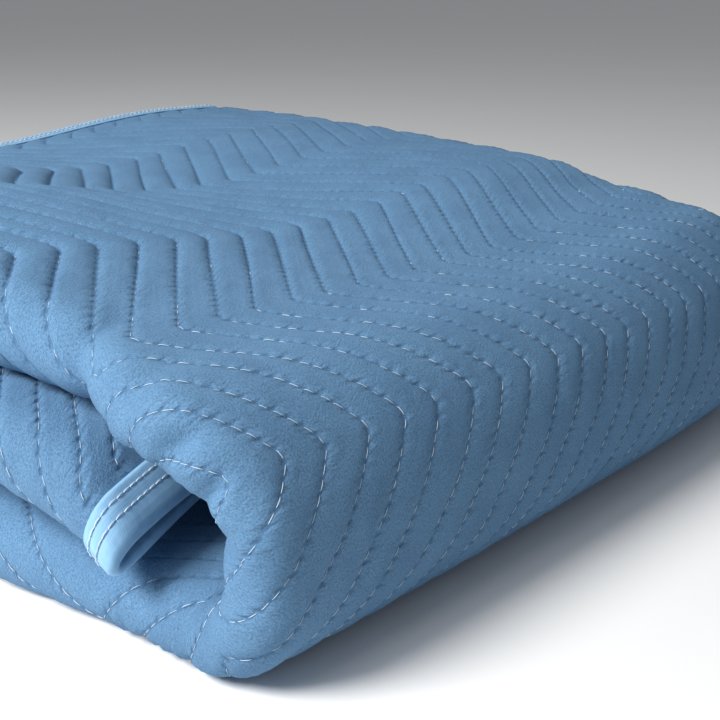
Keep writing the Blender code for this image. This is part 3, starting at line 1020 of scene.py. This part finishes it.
def felt():
    """Brushed felt, drawn on the flat cloth."""
    f = Finish("brushed_felt")
    rows, cloth = f.uv("rows"), f.uv("cloth")
    r, run = f.split(rows)
    q, t = f.split(cloth)
    off = (r + 0.5).math("FRACT").math("SUBTRACT", 0.5).math("ABSOLUTE") * ROW_APART
    swirl = f.noise(f.joined(q, t), 60.0, 2.0) * 0.020
    streak_a = f.noise(f.joined((q + swirl) * 430.0, (t + q * 0.6) * 950.0), *FIBRE_DETAIL)
    streak_b = f.noise(f.joined((q - t * 0.8) * 900.0, (t - swirl) * 400.0, 3.0), *FIBRE_DETAIL)
    patch = f.stretch(f.noise(f.joined(q, t, 9.0), PATCH_SCALE, 1.0), 0.40, 0.60)
    fibres = streak_a * patch + streak_b * (1.0 - patch)
    grain = f.noise(f.joined(q, t), GRAIN_SCALE, 4.0, 0.75)
    broad = f.noise(f.joined(q, t, 5.0), BROAD_SCALE, 3.0, 0.55)
    wave = (run * (2 * math.pi / STITCH_PITCH)).math("COSINE") * 0.5 + 0.5
    hole = wave * wave
    # seam mask, used for painted shade in the colour and for the seam's dip in the bump
    seam_shade_and_dip = f.stretch(off - hole * DIMPLE, *SEAM_EDGE, 1.0, 0.0)
    colour = f.mix(f.stretch(fibres, 0.42, 0.66) * 0.55, FELT_BLUE, FELT_PALE)
    colour = f.mix(f.stretch(fibres, 0.46, 0.30) * 0.40, colour, FELT_DEEP)
    colour = f.mix(f.stretch(grain, 0.50, 0.64) * 0.90, colour, FELT_PALE)
    colour = f.mix(f.stretch(grain, 0.50, 0.36) * 0.70, colour, FELT_DEEP)
    colour = f.mix(f.stretch(broad, 0.42, 0.64) * 0.20, colour, FELT_DEEP)
    # painted shade in the seam valleys, deepest at the stitch holes
    colour = f.mix(seam_shade_and_dip * (hole * 0.26 + 0.25), colour, FELT_DEEP)
    puckers = f.noise(f.joined(run * 170.0, off * 90.0, r.math("FLOOR")), 1.0, 2.0)
    gather = puckers * f.stretch(off, 0.0, GATHER_REACH, 1.0, 0.0)
    firmness = f.stretch(t, 0.38, 0.52, 0.18, 0.36)  # stitches pull less on the slack top
    pull = f.stretch(off, 0.0, PULL_REACH, 1.0, 0.0) * hole * firmness
    height = gather * 1.8 + fibres * 0.36 + grain * 0.34 + broad * 1.3 - pull - seam_shade_and_dip * 0.18
    f.bump(height, 0.0012, 1.0)
    f.set(Base_Color=colour, Roughness=0.95, Sheen_Weight=0.10, Sheen_Roughness=0.50)
    f.set(Sheen_Tint=(0.45, 0.68, 1.0, 1.0), Specular_IOR_Level=0.10)
    return f.material


# %% [markdown]
# The tape is woven smooth and lies paler than the felt, with a fine rib across it; part of that paleness is
# painted light, raised for a face that turns away from the key light. Its threads are far too many to
# model, so two sine waves raise them. The thread is off-white cotton with a slow twist.


# %% Woven tape and thread
RIB_PITCH, CROSS_PITCH = 0.0011, 0.0009
# tape colours: the tape's own paleness, raised further as painted light for a face turned from the key
# light
TAPE_BLUE = (0.222, 0.425, 0.650, 1.0)
TAPE_PALE = (0.268, 0.490, 0.720, 1.0)
TAPE_SLUB = (0.300, 0.520, 0.740, 1.0)
COTTON_DEEP = (0.50, 0.63, 0.74, 1.0)
COTTON_PALE = (0.74, 0.83, 0.90, 1.0)
THREAD_GROOVE_SHADE = (0.36, 0.47, 0.58, 1.0)


def woven():
    """Smooth woven tape, drawn along the strip and round its section."""
    f = Finish("woven_tape")
    run, across_tape = f.split(f.uv("tape"))
    rib = (run * (2 * math.pi / RIB_PITCH)).math("SINE")
    cross = (across_tape * (2 * math.pi / CROSS_PITCH)).math("SINE")
    cloud = f.noise(f.joined(run, across_tape), 160.0, 4.0, 0.6)
    slub = f.noise(f.joined(run * 260.0, across_tape * 2200.0), 1.0, 3.0)
    colour = f.mix(f.stretch(cloud, 0.35, 0.70), TAPE_BLUE, TAPE_PALE)
    colour = f.mix(f.stretch(slub, 0.45, 0.70) * 0.25, colour, TAPE_SLUB)
    f.bump(rib * 0.05 + cross * 0.05 + slub * 0.35 + cloud * 0.5, 0.0004, 0.7)
    f.set(Base_Color=colour, Roughness=0.72, Sheen_Weight=0.08, Sheen_Roughness=0.40)
    f.set(Specular_IOR_Level=0.25)
    return f.material


def cotton_thread():
    """Off-white cotton, with painted shade in the grooves between its twists."""
    f = Finish("cotton_thread")
    place = f.place()
    cloud = f.noise(place, 90.0, 2.0)
    twist = f.noise(place, 2600.0, 2.0)
    colour = f.mix(f.stretch(cloud, 0.35, 0.70), COTTON_DEEP, COTTON_PALE)
    # painted shade in the twist grooves, where the bump dips
    colour = f.mix(f.stretch(twist, 0.60, 0.40) * 0.30, colour, THREAD_GROOVE_SHADE)
    f.bump(twist, 0.0002, 0.6)
    f.set(Base_Color=colour, Roughness=0.65, Sheen_Weight=0.15)
    return f.material


felt_finish, woven_finish, thread_finish = felt(), woven(), cotton_thread()
panel.data.materials.append(felt_finish)
for piece in tapes.values():
    piece.data.materials.append(woven_finish)
for finish in (felt_finish, woven_finish, thread_finish):
    print(finish.name, "is", len(finish.node_tree.nodes), "nodes")

# %% Sew
QUILTING_UNEVENNESS, TAPE_UNEVENNESS = 0.20, 0.05  # how much shorter the shortest stitch is
quilting_stitch = stitch_mesh("quilting_stitch", *QUILTING_STITCH)
tape_stitch = stitch_mesh("tape_stitch", *TAPE_STITCH)
quilting = sew("quilting_stitches", quilting_places, quilting_stitch, thread_finish, QUILTING_UNEVENNESS)
binding = sew("tape_stitches", tape_places, tape_stitch, thread_finish, TAPE_UNEVENNESS)
for piece in (quilting, binding):
    piece.data.calc_loop_triangles()
    print(piece.name, len(piece.data.loop_triangles), "triangles")

# %% [markdown]
# ## Hand over to the frame
# Every piece lies where it belongs and nothing moves, so all of them ride on the one body.

# %% Pieces and nodes
for piece in (panel, *tapes.values(), quilting, binding):
    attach(piece, "root")
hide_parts("quilted_panel")
for node_name, piece in tapes.items():
    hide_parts(node_name)

# %% [markdown]
# ## Floor, light and camera
# A plain pale floor. One large soft light stands high on the left, so the top and the left end are bright
# and the front fold lies in its own shade, where only the pale surroundings light it. A small weak light
# low on the left reaches the tucked end under the front fold. A sun would give hard shadows, and more
# lamps would flatten the rows.


# %% Floor
FLOOR_HALF = 20.0
FLOOR_GREY, FLOOR_PALE = (0.89, 0.89, 0.89, 1.0), (0.92, 0.92, 0.92, 1.0)


def floor_piece():
    """A large pale square, a little cloudy."""
    points = [(x * FLOOR_HALF, y * FLOOR_HALF, 0.0) for x, y in ((-1, -1), (1, -1), (1, 1), (-1, 1))]
    floor = new_piece("floor", points, [(0, 1, 2, 3)])
    f = Finish("pale_floor")
    cloud = f.noise(f.place(), 3.0, 3.0)
    f.set(Base_Color=f.mix(cloud, FLOOR_GREY, FLOOR_PALE), Roughness=0.75)
    floor.data.materials.append(f.material)
    return floor


floor_piece()


# %% Lights
def soft_light(name, place, aim, size, power, colour):
    """A round lamp that faces its aim."""
    lamp = bpy.data.lights.new(name, "AREA")
    lamp.shape, lamp.size, lamp.energy, lamp.color = "DISK", size, power, colour
    obj = in_scene(name, lamp)
    obj.location = place
    obj.rotation_euler = (Vector(aim) - Vector(place)).to_track_quat("-Z", "Y").to_euler()


WARM, COOL = (1.0, 0.99, 0.97), (0.96, 0.98, 1.0)
soft_light("key", place=(-1.58, 0.20, 1.42), aim=(0.0, 0.0, 0.08), size=0.9, power=60.0, colour=WARM)
soft_light("fill", place=(-0.66, -0.34, 0.62), aim=(-0.21, -0.27, 0.05), size=0.3, power=0.9, colour=COOL)
SURROUNDINGS = {"Color": (0.93, 0.96, 1.0, 1.0), "Strength": 0.265}
world = bpy.data.worlds.new("studio")
bpy.context.scene.world = world
world.use_nodes = True
for name, value in SURROUNDINGS.items():
    world.node_tree.nodes["Background"].inputs[name].default_value = value
bpy.context.scene.view_settings.view_transform = "Standard"

# %% Camera
VIEW_TURN, VIEW_DOWN = math.radians(47.83), math.radians(18.68)
CAMERA_AT = (-0.4901, -0.5866, 0.2916)
SENSOR, LENS, NEAREST = 36.0, 57.5, 0.02
level = math.cos(VIEW_DOWN)
ahead = Vector((math.sin(VIEW_TURN) * level, math.cos(VIEW_TURN) * level, -math.sin(VIEW_DOWN)))
lens = bpy.data.cameras.new("camera")
lens.sensor_width, lens.lens, lens.clip_start = SENSOR, LENS, NEAREST
camera = in_scene("camera", lens)
sideways = Vector((math.cos(VIEW_TURN), -math.sin(VIEW_TURN), 0.0))
stand = Matrix((sideways, sideways.cross(ahead), -ahead)).transposed().to_4x4()
stand.translation = Vector(CAMERA_AT)
camera.matrix_world = stand
bpy.context.scene.camera = camera
print("the camera stands", round(math.dist(CAMERA_AT, (0.0, 0.0, 0.0)), 2), "m from the floor's middle")
